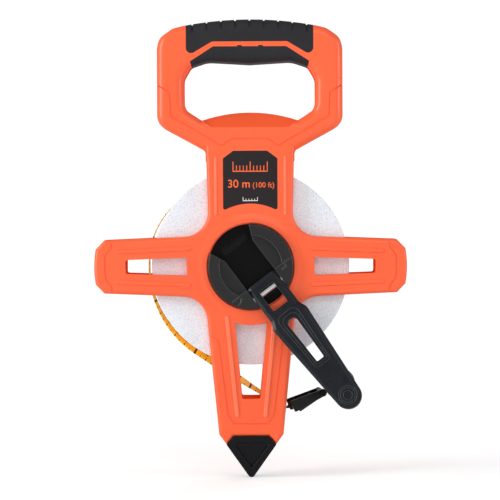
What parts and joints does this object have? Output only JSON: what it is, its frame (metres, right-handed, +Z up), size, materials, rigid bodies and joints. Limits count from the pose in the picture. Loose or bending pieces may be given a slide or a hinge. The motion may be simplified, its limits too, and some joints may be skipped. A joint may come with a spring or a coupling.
{
  "type": "surveyor tape reel",
  "caption": "Open-reel measuring tape: two-shell frame with a D handle, finger arms and a ground spike, a spool of tape, and a crank that folds into the hub.",
  "frame": {"origin": "tip of the ground spike, under the reel's axis in the plane where the shells meet", "axes": "+Z up through the spool's axis and the handle, +Y from the crank side to the rear, +X to the right seen from the crank side"},
  "size_m": [0.2384, 0.072, 0.3505],
  "materials": {
    "shell": "satin orange moulding",
    "grip": "matt overmoulded rubber",
    "label": "printed black plate",
    "black_plastic": "fine-grained black moulding",
    "spike": "black moulding",
    "steel": "zinc-plated",
    "spool": "frosted translucent polypropylene",
    "drum": "moulded",
    "tape": "yellow coated fibreglass with black print",
    "crank": "black powder coat",
    "knob": "polished black",
    "clip": "black enamel",
    "rivet": "dulled"
  },
  "bodies": {
    "frame": {"front_shell": "shell", "rear_shell": "shell", "front_upper_grip": "grip", "rear_upper_grip": "grip", "front_lower_grip": "grip", "rear_lower_grip": "grip", "label_plate": "label", "shell_screws": "steel", "ground_spike": "spike", "tape_tail": "tape", "clip_body": "clip", "clamp_plate": "clip", "clip_rivets": "rivet", "claw_pin": "rivet"},
    "reel": {"crank_hub": "black_plastic", "hinge_pin": "steel", "rear_hub": "black_plastic", "hub_screws": "steel", "front_flange": "spool", "rear_flange": "spool", "spool_core": "drum", "tape_anchor": "drum", "tape_pack": "tape"},
    "crank": {"crank_arm": "crank", "knob_spindle": "steel", "knob_washer": "steel"},
    "knob": {"crank_knob": "knob"},
    "claw": {"end_claw": "clip"}
  },
  "joints": [
    {"name": "reel_spin", "type": "hinge", "parent": "frame", "child": "reel", "pos_m": [0, 0, 0.1625], "axis": [0, -1, 0], "continuous": true},
    {"name": "crank_fold", "type": "hinge", "parent": "reel", "child": "crank", "pos_m": [0.01327, -0.02, 0.14495], "axis": [-0.7976, 0, -0.6032], "range_deg": [0, 160]},
    {"name": "knob_spin", "type": "hinge", "parent": "crank", "child": "knob", "pos_m": [0.06406, -0.04415, 0.07779], "axis": [0.1663, 0.9613, -0.2198], "continuous": true},
    {"name": "claw_fold", "type": "hinge", "parent": "frame", "child": "claw", "pos_m": [0.0537, 0.005, 0.0646], "axis": [0.2079, -0.9781, 0], "range_deg": [0, 150]}
  ]
}
